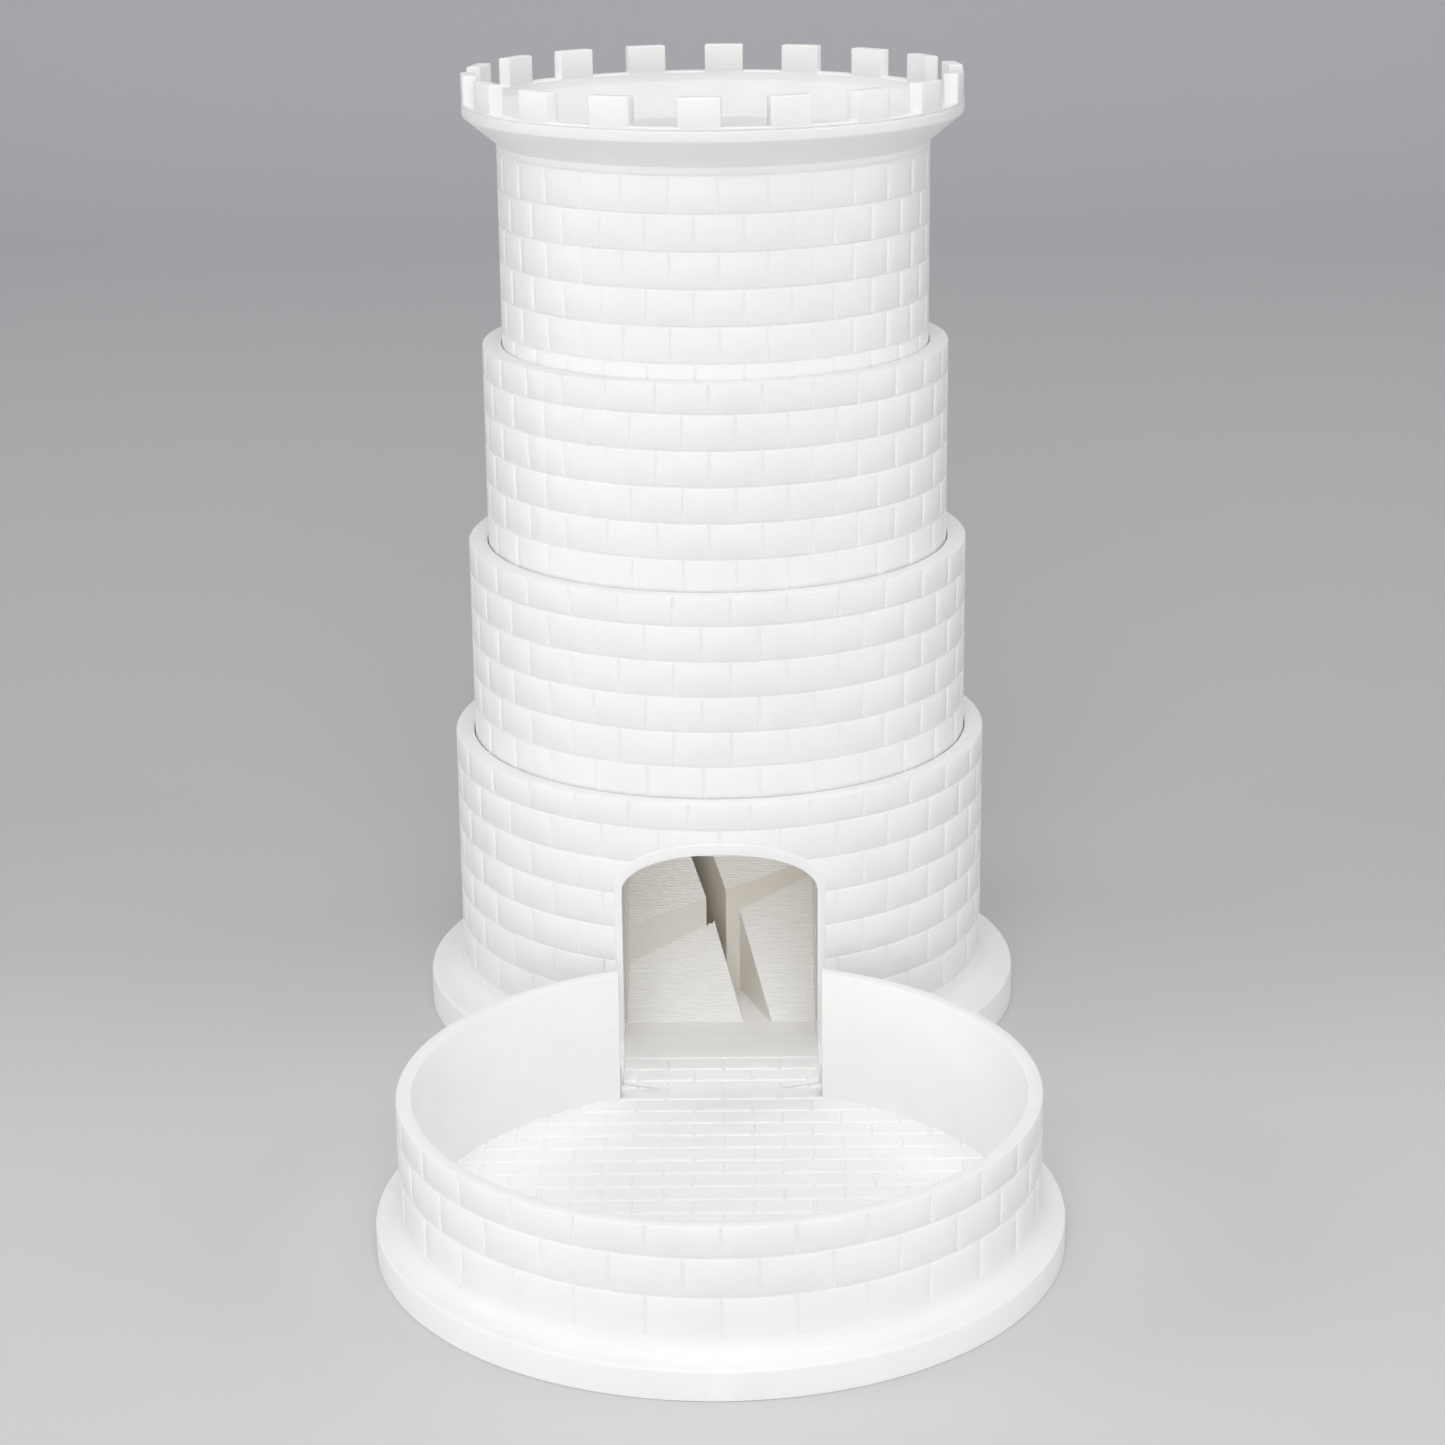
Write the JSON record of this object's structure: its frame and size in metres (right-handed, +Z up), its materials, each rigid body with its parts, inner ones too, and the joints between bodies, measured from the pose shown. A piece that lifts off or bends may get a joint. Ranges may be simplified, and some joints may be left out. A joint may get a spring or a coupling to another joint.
{
  "type": "telescoping dice tower",
  "caption": "Collapsible castle-shaped dice tower: nested round brick tiers with a crowned top, an arched doorway with ramps behind it, and a round dice tray in front.",
  "frame": {"origin": "on the tower's axis, at the ground under the base flange", "axes": "+Z up along the tower's axis, -Y out of the doorway towards the tray, +X to the right when facing the door"},
  "size_m": [0.1238, 0.2406, 0.1943],
  "materials": {
    "tower_base": "satin",
    "ramp_left": "satin",
    "ramp_right": "satin",
    "tier_3": "satin",
    "tier_2": "satin",
    "tier_1_crown": "satin",
    "dice_tray": "satin"
  },
  "bodies": {
    "base": {"tower_base": "tower_base", "ramp_left": "ramp_left", "ramp_right": "ramp_right"},
    "tier_3": {"tier_3": "tier_3"},
    "tier_2": {"tier_2": "tier_2"},
    "tier_1": {"tier_1_crown": "tier_1_crown"},
    "tray": {"dice_tray": "dice_tray"}
  },
  "joints": [
    {"name": "tier_3_slide", "type": "slide", "parent": "base", "child": "tier_3", "axis": [0, 0, 1], "range_m": [-0.0404, 0]},
    {"name": "tier_2_slide", "type": "slide", "parent": "tier_3", "child": "tier_2", "axis": [0, 0, 1], "range_m": [-0.0404, 0]},
    {"name": "tier_1_slide", "type": "slide", "parent": "tier_2", "child": "tier_1", "axis": [0, 0, 1], "range_m": [-0.0401, 0]},
    {"name": "tray_pull", "type": "slide", "parent": "base", "child": "tray", "axis": [0, -1, 0], "range_m": [0, 0.08]}
  ]
}
